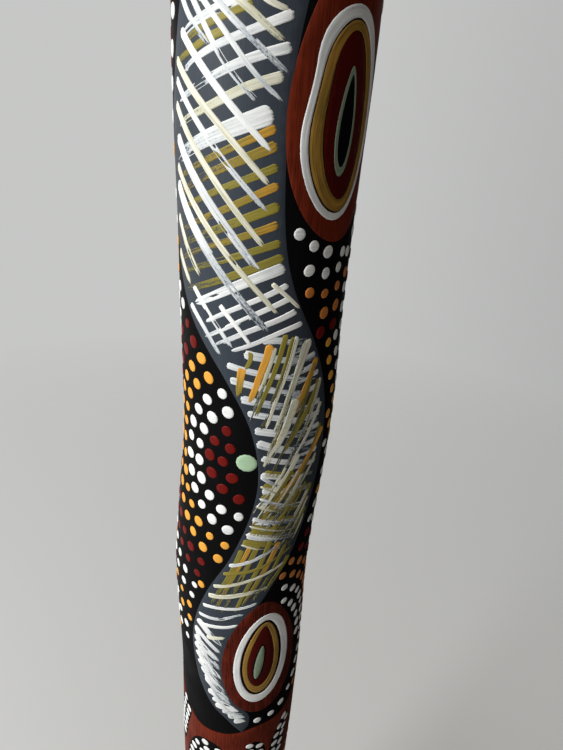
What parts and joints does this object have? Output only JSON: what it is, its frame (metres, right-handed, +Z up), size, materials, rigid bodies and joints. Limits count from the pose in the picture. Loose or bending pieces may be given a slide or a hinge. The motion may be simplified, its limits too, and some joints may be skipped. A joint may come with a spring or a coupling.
{
  "type": "didgeridoo",
  "caption": "Hollow, gently bent wooden wind instrument with a flared bell, a moulded beeswax mouthpiece and a dot and cross-hatch painted outside.",
  "frame": {"origin": "centre of the bell's face, on the surface that the instrument stands on", "axes": "+Z up the trunk from the bell to the mouthpiece; -Y faces the painted side that the reference view shows"},
  "size_m": [0.0924, 0.0906, 1.22],
  "materials": {
    "painted_wood": "satin paint over hardwood, bare inside the bore",
    "beeswax": "hand-moulded beeswax, soft sheen",
    "paint_black": "satin acrylic paint",
    "paint_slate": "satin acrylic paint",
    "paint_red_brown": "satin acrylic paint",
    "paint_dark_red": "satin acrylic paint",
    "paint_white": "satin acrylic paint",
    "paint_cream": "satin acrylic paint",
    "paint_ochre": "satin acrylic paint",
    "paint_olive": "satin acrylic paint",
    "paint_pale_green": "satin acrylic paint"
  },
  "bodies": {
    "root": {"trunk": "painted_wood", "wax_mouthpiece": "beeswax"}
  },
  "joints": []
}
